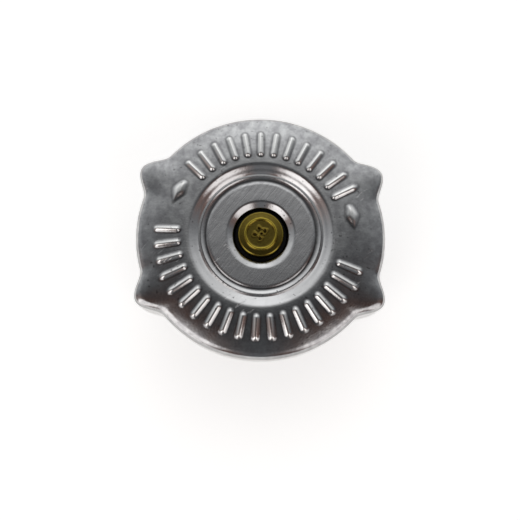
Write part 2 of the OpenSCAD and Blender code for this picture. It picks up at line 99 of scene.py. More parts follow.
def piece(name, bm, material, crease=50):
    """The object of a finished bmesh, smooth but for the edges that turn more than the crease angle."""
    mesh = bpy.data.meshes.new(name)
    bm.to_mesh(mesh)
    bm.free()
    mesh.shade_smooth()
    mesh.set_sharp_from_angle(angle=math.radians(crease))
    mesh.materials.append(material)
    made = bpy.data.objects.new(name, mesh)
    bpy.context.scene.collection.objects.link(made)
    weighted = made.modifiers.new("flat_faces_stay_flat", "WEIGHTED_NORMAL")
    weighted.keep_sharp = True
    return made


def colour(hex_code):
    """An sRGB hex colour as a linear RGBA value."""
    parts = [int(hex_code[i:i + 2], 16) / 255 for i in (1, 3, 5)]
    linear = [c / 12.92 if c <= 0.04045 else ((c + 0.055) / 1.055) ** 2.4 for c in parts]
    return (*linear, 1.0)


def node(tree, kind, inputs=None, **settings):
    """Adds a node with its settings. An input is a value, a socket, or a node for its first output."""
    made = tree.nodes.new(kind)
    for key, value in settings.items():
        setattr(made, key, value)
    for key, value in (inputs or {}).items():
        if isinstance(value, bpy.types.Node):
            value = next(socket for socket in value.outputs if socket.enabled)
        if isinstance(value, bpy.types.NodeSocket):
            tree.links.new(value, made.inputs[key])
        else:
            made.inputs[key].default_value = value
    return made


def new_material(name):
    """A material without a surface yet, its node tree and its object coordinates."""
    material = bpy.data.materials.new(name)
    material.use_nodes = True
    tree = material.node_tree
    tree.nodes.clear()
    where = node(tree, "ShaderNodeTexCoord").outputs["Object"]
    return material, tree, where


def plain_finish(tree, pattern, colours, roughness, grain, strength, depth, surface, spread=(0, 1)):
    """A surface whose pattern runs between two colours and two roughnesses, with a grain in relief."""
    tone = node(
        tree, "ShaderNodeMix",
        {"Factor": pattern, "A": colour(colours[0]), "B": colour(colours[1])}, data_type="RGBA",
    )
    gloss = node(tree, "ShaderNodeMapRange", {
        "Value": pattern, "From Min": spread[0], "From Max": spread[1],
        "To Min": roughness[0], "To Max": roughness[1],
    })
    relief = node(tree, "ShaderNodeBump", {"Height": grain, "Strength": strength, "Distance": depth})
    shader = node(tree, "ShaderNodeBsdfPrincipled", {
        "Base Color": tone, "Roughness": gloss, "Normal": relief, **surface,
    })
    node(tree, "ShaderNodeOutputMaterial", {"Surface": shader})


# Satin brass, turned or drawn: yellow metal with a soft gloss, faintly mottled where it has dulled.
satin_brass, tree, where = new_material("satin_brass")
mottle = node(tree, "ShaderNodeTexNoise", {"Vector": where, "Scale": 1 / (1.6 * mm), "Detail": 5.0})
grain = node(tree, "ShaderNodeTexNoise", {"Vector": where, "Scale": 1 / (0.12 * mm), "Detail": 2.0})
plain_finish(
    tree, mottle, colours=("#a88a3c", "#cdb364"), spread=(0.3, 0.7), roughness=(0.36, 0.24),
    grain=grain, strength=0.12, depth=0.02 * mm, surface={"Metallic": 1.0},
)

plunger = piece("brass_plunger", turned(
    [
        (0, plunger_low.z), (plunger_disc_r - plunger_bevel, plunger_low.z),
        (plunger_disc_r, plunger_low.z + plunger_bevel), (plunger_disc_r, plunger_disc_top),
        (stem_r, plunger_disc_top), (stem_r, peen_foot), (peen_r, peen_foot),
        (stem_r, plunger_high.z), (0, plunger_high.z),
    ],
    easing=0.08 * mm, steps=96,
), satin_brass)
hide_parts("vacuum_valve")
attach(plunger, "vacuum_valve")

# Plunger ring: a flat rubber ring, cut from sheet, that lies on the plunger's disc.
# It closes the small hole in the ferrule's seat from below.
ring_low, ring_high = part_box("vacuum_seal")
close_fit = 0.02 * mm

# Moulded rubber: black and nearly matt, with a fine grain from the mould and a trace of grey bloom.
moulded_rubber, tree, where = new_material("moulded_rubber")
bloom = node(tree, "ShaderNodeTexNoise", {"Vector": where, "Scale": 1 / (3 * mm), "Detail": 4.0})
grain = node(tree, "ShaderNodeTexNoise", {"Vector": where, "Scale": 1 / (0.2 * mm), "Detail": 3.0})
plain_finish(
    tree, bloom, colours=("#030303", "#0c0c0c"), roughness=(0.6, 0.85),
    grain=grain, strength=0.25, depth=0.03 * mm, surface={"IOR": 1.52, "Specular IOR Level": 0.35},
)


def washer_section(inner_r, outer_r, low, high):
    """The four corners of a flat ring."""
    return [(inner_r, low), (outer_r, low), (outer_r, high), (inner_r, high)]


plunger_ring = piece("plunger_ring", turned(
    washer_section(stem_r + close_fit, ring_high.x, ring_low.z, ring_high.z), easing=0.1 * mm, steps=96,
), moulded_rubber)
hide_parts("vacuum_seal")
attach(plunger_ring, "vacuum_valve")

# Ferrule: a deep-drawn brass eyelet. Its lower flange holds the rubber seal, its barrel goes up through
# the stack, and its upper edge is clinched over the follower. The plunger's seat is inside the barrel.
ferrule_low, ferrule_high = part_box("valve_ferrule")
ferrule_t = 0.7 * mm
ferrule_bevel = ferrule_t / 3
nest_r = 6.2 * mm
barrel_r = nest_r + ferrule_t
clinch_r = 9.0 * mm
clinch_foot = ferrule_high.z - ferrule_t
seat_low = ring_high.z
seat_high = seat_low + ferrule_t
stem_hole_r = 3.0 * mm
flange_top = ferrule_low.z + ferrule_t

ferrule = piece("brass_ferrule", turned(
    [
        (nest_r, ferrule_low.z), (ferrule_high.x - ferrule_bevel, ferrule_low.z),
        (ferrule_high.x, ferrule_low.z + ferrule_bevel), (ferrule_high.x, flange_top),
        (barrel_r, flange_top), (barrel_r, clinch_foot), (clinch_r, clinch_foot),
        (clinch_r, ferrule_high.z - ferrule_bevel), (clinch_r - ferrule_bevel, ferrule_high.z),
        (nest_r, ferrule_high.z), (nest_r, seat_high), (stem_hole_r, seat_high),
        (stem_hole_r, seat_low), (nest_r, seat_low),
    ],
    easing=0.1 * mm, steps=128,
), satin_brass)
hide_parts("valve_ferrule")
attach(ferrule, "pressure_valve")

# Vacuum spring: a light coil of stainless wire round the plunger's stem.
# It stands on the ferrule's seat and holds the plunger up by the keeper.
vacuum_coil_low, vacuum_coil_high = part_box("vacuum_spring")
vacuum_wire_d = 0.6 * mm
vacuum_coil_r = vacuum_coil_high.x - vacuum_wire_d / 2
vacuum_turns = 5
vacuum_height = vacuum_coil_high.z - vacuum_coil_low.z

# Drawn spring wire: grey steel with fine lines along the wire, from the die that it was drawn through.
# The lines are a pattern round the wire's section, which the coil carries as two attributes.
drawn_wire, tree, where = new_material("drawn_wire")
across = node(tree, "ShaderNodeCombineXYZ", {
    "X": node(tree, "ShaderNodeAttribute", attribute_name="section_x").outputs["Fac"],
    "Y": node(tree, "ShaderNodeAttribute", attribute_name="section_y").outputs["Fac"],
})
lines_across = 9.0
die_lines = node(tree, "ShaderNodeTexNoise", {"Vector": across, "Scale": lines_across, "Detail": 4.0})
patches = node(tree, "ShaderNodeTexNoise", {"Vector": where, "Scale": 1 / (2.5 * mm), "Detail": 4.0})
plain_finish(
    tree, patches, colours=("#6f7174", "#a9aaab"), roughness=(0.42, 0.24),
    grain=die_lines, strength=0.3, depth=0.02 * mm, surface={"Metallic": 1.0},
)


def coil(mean_r, wire_d, turns, foot, height, steps_per_turn, sides):
    """A spring with closed end turns: the wire's round section, spun up the axis in three stretches."""
    closed_pitch = 1.06
    bm = bmesh.new()
    start = Matrix.Translation((mean_r, 0, foot + wire_d / 2)) @ Matrix.Rotation(math.pi / 2, 4, "X")
    bmesh.ops.create_circle(bm, segments=sides, radius=wire_d / 2, matrix=start)
    section_x = bm.verts.layers.float.new("section_x")
    section_y = bm.verts.layers.float.new("section_y")
    for vert in bm.verts:
        vert[section_x] = (vert.co.x - mean_r) / wire_d
        vert[section_y] = (vert.co.z - foot) / wire_d
    end_rise = wire_d * closed_pitch
    open_turns = turns - 2
    open_rise = height - wire_d - 2 * end_rise
    loop = bm.verts[:] + bm.edges[:]
    for share, rise in ((1, end_rise), (open_turns, open_rise), (1, end_rise)):
        steps = round(share * steps_per_turn)
        stretch = bmesh.ops.spin(
            bm, geom=loop, cent=(0, 0, 0), axis=(0, 0, 1), dvec=(0, 0, rise / steps),
            angle=math.tau * share, steps=steps,
        )
        loop = stretch["geom_last"]
    bmesh.ops.holes_fill(bm, edges=[e for e in bm.edges if e.is_boundary])
    bmesh.ops.recalc_face_normals(bm, faces=bm.faces)
    return bm


vacuum_coil = piece("vacuum_coil", coil(
    vacuum_coil_r, vacuum_wire_d, vacuum_turns, vacuum_coil_low.z, vacuum_height,
    steps_per_turn=60, sides=14,
), drawn_wire)
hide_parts("vacuum_spring")
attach(vacuum_coil, "pressure_valve")
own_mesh(vacuum_coil)

# Keeper: a small cup pressed from thin steel and zinc plated, open downwards.
# It sits under the stem's peened end and locates the top of the vacuum spring.
keeper_low, keeper_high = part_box("spring_keeper")
keeper_t = 0.6 * mm
keeper_floor = keeper_high.z - keeper_t

# Zinc plate on pressed steel: a pale, satin grey with a soft mottle from the plating bath.
zinc_plate, tree, where = new_material("zinc_plate")
mottle = node(tree, "ShaderNodeTexNoise", {"Vector": where, "Scale": 1 / (2.2 * mm), "Detail": 6.0})
grain = node(tree, "ShaderNodeTexNoise", {"Vector": where, "Scale": 1 / (0.15 * mm), "Detail": 2.0})
plain_finish(
    tree, mottle, colours=("#a3a39e", "#c9c9c2"), spread=(0.3, 0.7), roughness=(0.42, 0.3),
    grain=grain, strength=0.15, depth=0.02 * mm, surface={"Metallic": 1.0},
)

keeper = piece("plated_keeper", turned(
    [
        (stem_r + close_fit, keeper_floor), (keeper_high.x - keeper_t, keeper_floor),
        (keeper_high.x - keeper_t, keeper_low.z), (keeper_high.x, keeper_low.z),
        (keeper_high.x, keeper_high.z), (stem_r + close_fit, keeper_high.z),
    ],
    easing=0.15 * mm, steps=96,
), zinc_plate)
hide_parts("spring_keeper")
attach(keeper, "vacuum_valve")

# Pressure seal: a thick rubber ring moulded with a flat face for the ledge in the neck,
# and a pocket in that face where the ferrule's flange lies.
seal_low, seal_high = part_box("pressure_seal")
seal_bore_r = barrel_r + close_fit
pocket_gap = 0.2 * mm
pocket_r = ferrule_high.x + pocket_gap
seal_foot_bevel = 0.5 * mm
seal_top_bevel = 0.4 * mm

seal = piece("seal_rubber", turned(
    [
        (seal_bore_r, flange_top), (pocket_r, flange_top), (pocket_r + seal_foot_bevel, seal_low.z),
        (seal_high.x - seal_foot_bevel, seal_low.z), (seal_high.x, seal_low.z + seal_foot_bevel),
        (seal_high.x, seal_high.z - seal_top_bevel), (seal_high.x - seal_top_bevel, seal_high.z),
        (seal_bore_r, seal_high.z),
    ],
    easing=0.15 * mm, steps=160,
), moulded_rubber)
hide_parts("pressure_seal")
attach(seal, "pressure_valve")

# Seal plate: a shallow cup pressed from sheet steel and zinc plated, upside down.
# It backs the rubber seal, and its rim holds the seal's edge.
seal_plate_low, seal_plate_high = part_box("seal_plate")
seal_plate_t = 0.8 * mm
seal_plate_r = seal_plate_high.x


def pressed(line, thickness, easing):
    """A round pressing: one face's corners, with the other face at that thickness to their right, spun."""
    points = [Vector(p) for p in line]
    ways = [(b - a).normalized() for a, b in zip(points, points[1:])]
    rights = [Vector((way.y, -way.x)) for way in ways]
    far_side = []
    for i, point in enumerate(points):
        before = rights[max(i - 1, 0)]
        after = rights[min(i, len(rights) - 1)]
        middle = (before + after).normalized()
        far_side.append(point + middle * thickness / middle.dot(after))
    return turned(points + far_side[::-1], easing, steps=160)


seal_plate = piece("plated_seal_plate", pressed(
    [
        (seal_bore_r, seal_plate_high.z), (seal_plate_r, seal_plate_high.z),
        (seal_plate_r, seal_plate_low.z),
    ],
    seal_plate_t, easing=0.35 * mm,
), zinc_plate)
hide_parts("seal_plate")
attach(seal_plate, "pressure_valve")

# Follower: a dished plate of plated steel that the main spring stands in. Its rim rests on the bell's lip,
# which carries the spring's load while the cap is off the neck.
follower_low, follower_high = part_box("spring_follower")
follower_t = 0.8 * mm
follower_cup_r = 14.1 * mm

follower = piece("plated_follower", pressed(
    [
        (follower_high.x, follower_high.z), (follower_cup_r - follower_t, follower_high.z),
        (follower_cup_r - follower_t, follower_low.z + follower_t),
        (seal_bore_r, follower_low.z + follower_t),
    ],
    -follower_t, easing=0.35 * mm,
), zinc_plate)
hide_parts("spring_follower")
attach(follower, "pressure_valve")

# Main spring: a stout coil of drawn spring wire between the follower and the bell's roof.
# Its load sets the pressure at which the cap opens.
main_coil_low, main_coil_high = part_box("main_spring")
main_wire_d = 2.2 * mm
main_coil_r = main_coil_high.x - main_wire_d / 2
main_turns = 4.4
main_height = main_coil_high.z - main_coil_low.z

main_coil = piece("pressure_coil", coil(
    main_coil_r, main_wire_d, main_turns, main_coil_low.z, main_height, steps_per_turn=90, sides=24,
), drawn_wire)
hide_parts("main_spring")
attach(main_coil, "core")
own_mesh(main_coil)

# Bell: drawn from sheet steel and zinc plated, held to the shell by the rivet through its roof.
# Four windows let coolant past, and the lip below is turned in under the follower's rim.
bell_low, bell_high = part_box("spring_bell")
bell_t = 0.8 * mm
bell_r = bell_high.x
bell_hole_r = 2.62 * mm
bell_mouth_r = 14.5 * mm
window_count = 4
window_w = 13 * mm
window_sill_h = 4.0 * mm
window_head_h = 3.2 * mm
window_low = bell_low.z + window_sill_h
window_high = bell_high.z - window_head_h
window_corner_r = 1.6 * mm
nearly_along = 0.9

bell = piece("plated_bell", pressed(
    [
        (bell_hole_r, bell_high.z), (bell_r, bell_high.z),
        (bell_r, bell_low.z), (bell_mouth_r, bell_low.z),
    ],
    bell_t, easing=0.6 * mm,
), zinc_plate)
punch_bm = bmesh.new()
for i in range(window_count):
    stroke = Matrix.Translation((bell_r, 0, (window_low + window_high) / 2))
    size = Matrix.Diagonal((bell_r, window_w, window_high - window_low, 1))
    turn = Matrix.Rotation((i + 0.5) * math.tau / window_count, 4, "Z")
    punch = bmesh.ops.create_cube(punch_bm, size=1, matrix=turn @ stroke @ size)
    outwards = turn @ Vector((1, 0, 0))
    corners = []
    for edge in {e for v in punch["verts"] for e in v.link_edges}:
        edge_way = (edge.verts[0].co - edge.verts[1].co).normalized()
        if abs(edge_way.dot(outwards)) > nearly_along:
            corners.append(edge)
    bmesh.ops.bevel(
        punch_bm, geom=corners, offset=window_corner_r, offset_type="OFFSET", affect="EDGES",
        segments=6, profile=0.5, material=-1,
    )
punches = piece("window_punches", punch_bm, zinc_plate)
cut = bell.modifiers.new("windows", "BOOLEAN")
cut.operation = "DIFFERENCE"
cut.solver = "EXACT"
cut.object = punches
burr = bell.modifiers.new("tumbled_edges", "BEVEL")
burr.width = 0.12 * mm
burr.segments = 2
burr.limit_method = "ANGLE"
burr.angle_limit = math.radians(50)
bell.modifiers.move(0, 2)
finished_bell = bpy.data.meshes.new_from_object(bell.evaluated_get(bpy.context.evaluated_depsgraph_get()))
bell.modifiers.clear()
bell.data = finished_bell
bpy.data.objects.remove(punches)
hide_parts("spring_bell")
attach(bell, "core")

# Neck gasket: a moulded rubber disc under the spring disc.
# Its flat rib seals on the rim of the filler neck.
gasket_low, gasket_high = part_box("neck_gasket")
gasket_r = gasket_high.x
gasket_web_t = 1.0 * mm
gasket_web = gasket_high.z - gasket_web_t
gasket_rib_w = 5.0 * mm
gasket_rib_slope = 0.25 * mm

gasket = piece("gasket_rubber", turned(
    [
        (bell_hole_r, gasket_web), (gasket_r - gasket_rib_w - gasket_rib_slope, gasket_web),
        (gasket_r - gasket_rib_w, gasket_low.z), (gasket_r - gasket_rib_slope, gasket_low.z),
        (gasket_r, gasket_web), (gasket_r, gasket_high.z), (bell_hole_r, gasket_high.z),
    ],
    easing=0.12 * mm, steps=160,
), moulded_rubber)
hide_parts("neck_gasket")
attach(gasket, "core")

# Spring disc: stamped from thin spring strip, with its edge turned up.
# It presses the gasket's rib on the neck when the cap is locked.
disc_low, disc_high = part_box("spring_disc")
disc_t = 0.5 * mm
disc_r = disc_high.x
disc_edge_h = 0.8 * mm
disc_edge_w = disc_edge_h * 1.6
disc_top = disc_low.z + disc_t


def lined(tree, where, sizes, turn=0, detail=4.0, roughness=0.5, distortion=0.0):
    """A pattern of lines: noise in coordinates that are turned about Z and measured in the lines' sizes."""
    faced = node(tree, "ShaderNodeMapping", {"Vector": where, "Rotation": (0, 0, math.radians(turn))})
    drawn_out = node(tree, "ShaderNodeMapping", {"Vector": faced, "Scale": [1 / size for size in sizes]})
    return node(tree, "ShaderNodeTexNoise", {
        "Vector": drawn_out, "Scale": 1.0,
        "Detail": detail, "Roughness": roughness, "Distortion": distortion,
    })


# Rolled spring strip: cold-rolled steel, with fine straight rolling lines across the whole blank.
rolled_strip, tree, where = new_material("rolled_strip")
rolling_lines = lined(tree, where, (0.25 * mm, 14 * mm, 0.25 * mm))
plain_finish(
    tree, rolling_lines, colours=("#8f8f8c", "#bdbcb7"), roughness=(0.24, 0.42),
    grain=rolling_lines, strength=0.2, depth=0.02 * mm, surface={"Metallic": 1.0},
)

disc = piece("strip_disc", pressed(
    [
        (bell_hole_r, disc_top), (disc_r - disc_edge_w, disc_top),
        (disc_r - disc_edge_w / 2, disc_top + disc_edge_h / 3), (disc_r, disc_top + disc_edge_h),
    ],
    disc_t, easing=0.12 * mm,
), rolled_strip)
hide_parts("spring_disc")
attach(disc, "core")

# Shell: one pressing of bright stainless sheet, the only piece a hand touches. The crown is drawn out into
# four grip ears, the well and bead are pressed into its middle, ribs and two darts are embossed round it,
# and two tabs are folded in at the foot of the skirt.
skirt_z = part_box("shell")[0].z
sheet_t = 0.9 * mm
body_r = 31.96 * mm
body_oval = 0.25 * mm
hole_r = 3.45 * mm
well_r = 7.05 * mm
well_corner_r = 0.4 * mm
well_depth = 3.4 * mm
washer_gap = 0.1 * mm
lip_r = 1.7 * mm
lip_slope = math.radians(27)
lip_w = 1.3 * mm
lip_edge_r = 0.2 * mm
plate_r = 13.6 * mm
plate_edge_w = 0.45 * mm
groove_w = 0.15 * mm
groove_depth = 0.2 * mm
bead_rise_w = 1.1 * mm
bead_rise = 0.3 * mm
bead_rise_power = 1.8
bead_fall_w = 0.25 * mm
bead_fall = 0.65 * mm
bead_fall_power = 1.15
slope_w = 3.55 * mm
# From the bead outwards: a share of the slope's width, and the tilt there in degrees.
slope_tilts = ((0, 42), (0.16, 40), (0.3, 22), (0.42, 21), (0.56, 28), (0.7, 25), (0.83, 11), (1, 0))
crest_h = 1.1 * mm
rim_r = 2.3 * mm
crown_slope = math.radians(14)
well_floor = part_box("rivet_washer")[0].z - washer_gap
plate_z = well_floor + well_depth
groove_z = plate_z - groove_depth
valley_z = groove_z + bead_rise - bead_fall
crest_z = plate_z + crest_h
groove_r = plate_r + plate_edge_w
bead_foot_r = groove_r + groove_w
bead_top_r = bead_foot_r + bead_rise_w
slope_r = bead_top_r + bead_fall_w
crest_r = slope_r + slope_w
lip_mid = Vector((well_r + lip_w + lip_r * math.sin(lip_slope), plate_z - lip_r))
lip_turn = 90 + math.degrees(lip_slope)
lip_foot_z = lip_mid.y + lip_r * math.cos(lip_slope) - lip_w * math.tan(lip_slope)
rim_start_r = body_r - rim_r * (1 - math.sin(crown_slope))
crown_drop = (rim_start_r - crest_r) * math.tan(crown_slope) / 2
rim_mid = Vector((body_r - rim_r, crest_z - crown_drop - rim_r * math.cos(crown_slope)))
skirt_rise = 2.5 * mm
skirt_step = 2.5
tab_tip_r = 26.6 * mm
tab_bend_r = 1.5 * mm
slot_h = 2.4 * mm
fold_z = skirt_z + slot_h
ear_angle = 29
ear_reach = 4.0 * mm
ear_half_w = 6.8 * mm
ear_half = math.degrees(ear_half_w / body_r)
ear_root_r = 25.5 * mm
tab_half = ear_angle - ear_half
tall_half = ear_angle + ear_half
sectors = 12
steps_in_sector = 40


def smooth(x):
    """0 below 0, 1 above 1, and an even S between."""
    c = np.clip(x, 0, 1)
    return c * c * (3 - 2 * c)


def arc(centre, radius, start, end, count):
    """Points of an arc from one angle to another, in degrees, both ends included."""
    angles = np.radians(np.linspace(start, end, count + 1))
    return [Vector((centre[0] + radius * math.cos(a), centre[1] + radius * math.sin(a))) for a in angles]


def line(start, end, count):
    """Evenly spaced points from start to end, without the end."""
    return [Vector(start).lerp(Vector(end), i / count) for i in range(count)]


def crown_z(radius):
    """Height of the crown between the crest and the rim's bend."""
    return crest_z - crown_drop * ((radius - crest_r) / (rim_start_r - crest_r)) ** 2


def slope_rise(share):
    """How much of the slope's height is reached at a share of its width."""
    at = np.linspace(0, 1, 200)
    tilts = np.interp(at, *zip(*slope_tilts))
    climbed = np.cumsum(np.tan(np.radians(tilts)))
    return np.interp(share, at, (climbed - climbed[0]) / (climbed[-1] - climbed[0]))


def well_line(fine):
    """The well's floor, its corner and the foot of its wall."""
    points = line((hole_r, well_floor), (well_r - well_corner_r, well_floor), fine)
    points += arc((well_r - well_corner_r, well_floor + well_corner_r), well_corner_r, -90, 0, fine + 1)
    return points + [Vector((well_r, well_floor + 2 * well_corner_r))]


def plate_line(fine):
    """The lip round the well, with its crisp edge, then the plate, the groove and the bead."""
    edge_z = lip_foot_z + lip_edge_r * (math.tan(lip_slope) - 1 / math.cos(lip_slope))
    lip_top = arc(lip_mid, lip_r, lip_turn, 90, 3 * fine)
    points = arc((well_r + lip_edge_r, edge_z), lip_edge_r, 180, lip_turn, fine)
    points += line(points[-1], lip_top[0], 2 * fine)[1:]
    points += lip_top[:-1]
    points += line((lip_mid.x, plate_z), (plate_r, plate_z), 2 * fine)
    points += line((plate_r, plate_z), (groove_r, groove_z), fine)
    points.append(Vector((groove_r, groove_z)))
    for share in np.linspace(0, 1, 3 * fine, endpoint=False):
        height = groove_z + bead_rise * share ** bead_rise_power
        points.append(Vector((bead_foot_r + bead_rise_w * share, height)))
    for share in np.linspace(0, 1, 2 * fine, endpoint=False):
        height = groove_z + bead_rise - bead_fall * (1 - (1 - share) ** bead_fall_power)
        points.append(Vector((bead_top_r + bead_fall_w * share, height)))
    return points


def crown_line(fine):
    """The slope outside the bead, the crown and the rim's bend."""
    points = []
    for share in np.linspace(0, 1, 6 * fine, endpoint=False):
        height = valley_z + (crest_z - valley_z) * slope_rise(share)
        points.append(Vector((slope_r + slope_w * share, height)))
    for radius in np.linspace(crest_r, rim_start_r, 9 * fine, endpoint=False):
        points.append(Vector((radius, crown_z(radius))))
    return points + arc(rim_mid, rim_r, 90 - math.degrees(crown_slope), 0, 4 * fine)


def far_face(points, thickness):
    """The sheet's other face: each point moved square to the line."""
    moved = []
    for i, point in enumerate(points):
        way = (points[min(i + 1, len(points) - 1)] - points[max(i - 1, 0)]).normalized()
        moved.append(point + thickness * Vector((way.y, -way.x)))
    return moved


def along(points, count):
    """Evenly spaced points along a line of points, both ends included."""
    steps = [(b - a).length for a, b in zip(points, points[1:])]
    walked = np.concatenate([[0], np.cumsum(steps)])
    at = np.linspace(0, walked[-1], count)
    xs = np.interp(at, walked, [p.x for p in points])
    zs = np.interp(at, walked, [p.y for p in points])
    return [Vector(p) for p in zip(xs, zs)]


# The sheet's underside runs straight below the bead. The foot of the skirt is drawn twice, straight and
# folded in, and each angle takes one of the two.
upper_face = well_line(4) + plate_line(4) + crown_line(4)
under_lip_z = lip_foot_z + sheet_t * (math.tan(lip_slope) - 1 / math.cos(lip_slope))
under_face = far_face(well_line(1), sheet_t) + [Vector((well_r + sheet_t, under_lip_z))]
under_face += arc(lip_mid, lip_r - sheet_t, lip_turn, 90, 3)
under_face += [Vector((plate_r, plate_z - sheet_t)), Vector((slope_r, valley_z - sheet_t))]
under_face += far_face(crown_line(1), sheet_t)
bend_mid = (body_r - tab_bend_r, skirt_z + tab_bend_r)
folded_face = [Vector((body_r, fold_z))]
folded_face += arc(bend_mid, tab_bend_r, 0, -90, 6)
folded_face.append(Vector((tab_tip_r, skirt_z)))
folded_back = far_face(folded_face, sheet_t)
foot_count = 11
wall_r = body_r - sheet_t
straight_outer = along([Vector((body_r, fold_z)), Vector((body_r, skirt_z))], foot_count)
straight_inner = along([Vector((wall_r, fold_z)), Vector((wall_r, skirt_z))], foot_count)
folded_outer = along(folded_face, foot_count)
folded_inner = along(folded_back, foot_count)

section_bm = bmesh.new()
pull_layer = section_bm.verts.layers.float.new("pull")
fold_r_layer = section_bm.verts.layers.float.new("fold_r")
fold_z_layer = section_bm.verts.layers.float.new("fold_z")
straight_section = upper_face + straight_outer + straight_inner[::-1] + under_face[::-1]
folded_section = upper_face + folded_outer + folded_inner[::-1] + under_face[::-1]
upper_radii = np.array([p.x for p in upper_face])
upper_heights = np.array([p.y for p in upper_face])
loop = []
for straight, folded in zip(straight_section, folded_section):
    vert = section_bm.verts.new((straight.x, 0, straight.y))
    nearest = np.argmin((upper_radii - straight.x) ** 2 + (upper_heights - straight.y) ** 2)
    vert[pull_layer] = smooth((upper_radii[nearest] - ear_root_r) / (body_r - ear_root_r))
    vert[fold_r_layer] = folded.x
    vert[fold_z_layer] = folded.y
    loop.append(vert)
for here, there in zip(loop, loop[1:] + loop[:1]):
    section_bm.edges.new((here, there))
sector_angle = math.tau / sectors
bmesh.ops.spin(
    section_bm, geom=section_bm.verts[:] + section_bm.edges[:], cent=(0, 0, 0), axis=(0, 0, 1),
    angle=sector_angle, steps=steps_in_sector,
)
bmesh.ops.spin(
    section_bm, geom=section_bm.verts[:] + section_bm.edges[:] + section_bm.faces[:], cent=(0, 0, 0),
    axis=(0, 0, 1), angle=math.tau - sector_angle, steps=sectors - 1, use_duplicate=True,
)
bmesh.ops.remove_doubles(section_bm, verts=section_bm.verts, dist=tiny)


def in_a_tab(vert):
    """Whether a point of the pressing is within the width of a tab."""
    return abs((math.degrees(math.atan2(vert.co.y, vert.co.x)) + 90) % 180 - 90) < tab_half


def folds(vert):
    """Whether a point of the pressing moves where the foot of the skirt is folded in."""
    return abs(vert[fold_z_layer] - vert.co.z) + abs(vert[fold_r_layer] - vert.co.xy.length) > tiny


# A narrow slot at each end of a tab lets it fold. Its top and its two sides are closed.
slot_faces = [
    f for f in section_bm.faces
    if any(folds(v) for v in f.verts) and len({in_a_tab(v) for v in f.verts}) == 2
]
bmesh.ops.delete(section_bm, geom=slot_faces, context="FACES")
slot_rims = {}
for edge in section_bm.edges:
    if edge.is_boundary:
        x, y, _ = edge.verts[0].co
        slot_rims.setdefault((x > 0, y > 0), []).append(edge)
for rim in slot_rims.values():
    across_slot = [e for e in rim if in_a_tab(e.verts[0]) != in_a_tab(e.verts[1])]
    roof = bmesh.ops.contextual_create(section_bm, geom=across_slot)["faces"][0]
    rim += roof.edges
    for side in (True, False):
        bmesh.ops.contextual_create(
            section_bm, geom=[e for e in set(rim) if all(in_a_tab(v) == side for v in e.verts)],
        )
bmesh.ops.recalc_face_normals(section_bm, faces=section_bm.faces)

# Bright stainless sheet, pressed: a grey mirror softened by the drawing, with slight waves, a fine mottle,
# a few dark specks and scratches, and painted shade, dark, in the groove and at the feet of the marks. The
# flat centre plate is brushed straight across, the slope round it and the lip inside it are polished, the
# marks are painted lighter as a painted highlight, and the drawn skirt is painted duller, darker and warmer
# as painted shade, with upright draw lines. Brush lines, draw lines and scratches are drawn coarser than
# real ones, so that they show.
brushed_from = (8.5 * mm, 9.2 * mm)
brushed_to = (13.4 * mm, 13.7 * mm)
# Painted shade: the groove is painted dark between these radii.
groove_shade_from = (plate_r, groove_r)
groove_shade_to = (bead_foot_r, bead_foot_r + 0.5 * mm)
polished_from = (bead_foot_r, bead_foot_r + 0.6 * mm)
polished_to = (crest_r - 0.6 * mm, crest_r + 0.8 * mm)
polished_lip = (8.3 * mm, 8.9 * mm)
# Painted shade: the skirt is painted darker and warmer below these heights, over its upright draw lines.
skirt_shade_heights = (28.6 * mm, 26.0 * mm)


def axis_distance(tree, where):
    """How far each point of a material is from the cap's axis."""
    plan = node(tree, "ShaderNodeVectorMath", {0: where, 1: (1, 1, 0)}, operation="MULTIPLY")
    return node(tree, "ShaderNodeVectorMath", {0: plan}, operation="LENGTH")


pressed_stainless, tree, where = new_material("pressed_stainless")
from_axis = axis_distance(tree, where)
up_axis = node(tree, "ShaderNodeSeparateXYZ", {"Vector": where}).outputs["Z"]
brushing = lined(tree, where, (8 * mm, 0.55 * mm, 3 * mm), turn=-53, roughness=0.7)
scratches = lined(tree, where, (3 * mm, 0.4 * mm, 4 * mm), turn=-38, detail=0.0, distortion=0.6)
draw_lines = lined(tree, where, (1.2 * mm, 1.2 * mm, 20 * mm), roughness=0.6)
patterns = {
    name: node(
        tree, "ShaderNodeTexNoise",
        {"Vector": where, "Scale": 1 / size, "Detail": detail, "Roughness": roughness},
    )
    for name, size, detail, roughness in (
        ("haze", 0.5 * mm, 3.0, 0.5),
        ("stains", 2.2 * mm, 4.0, 0.6),
        ("specks", 0.8 * mm, 1.0, 0.5),
        ("handling", 14 * mm, 1.0, 0.5),
        ("waves", 6 * mm, 2.0, 0.5),
    )
}

# Each fade runs between two values, from where it starts to where it ends on a pattern or a measure.
fades = {
    name: node(
        tree, "ShaderNodeMapRange",
        {"Value": measure, "From Min": start, "From Max": end, "To Min": at_start, "To Max": at_end},
    )
    for name, measure, start, end, at_start, at_end in (
        ("past_lip", from_axis, *brushed_from, 0.0, 1.0),
        ("inside_edge", from_axis, *brushed_to, 1.0, 0.0),
        ("into_groove", from_axis, *groove_shade_from, 0.0, 0.75),
        ("out_of_groove", from_axis, *groove_shade_to, 1.0, 0.0),
        ("past_bead", from_axis, *polished_from, 0.0, 0.85),
        ("before_crest", from_axis, *polished_to, 1.0, 0.0),
        ("on_lip", from_axis, *polished_lip, 0.6, 0.0),
        ("on_skirt", up_axis, *skirt_shade_heights, 0.0, 1.0),
        ("clean", patterns["stains"], 0.32, 0.68, 0.0, 1.0),
        ("specked", patterns["specks"], 0.29, 0.25, 0.0, 0.6),
        ("scratched", scratches, 0.72, 0.78, 1.0, 0.0),
        ("handled", patterns["handling"], 0.56, 0.68, 0.0, 1.0),
        ("crown_gloss", patterns["stains"], 0.3, 0.7, 0.2, 0.11),
        ("plate_gloss", brushing, 0.3, 0.7, 0.32, 0.16),
    )
}
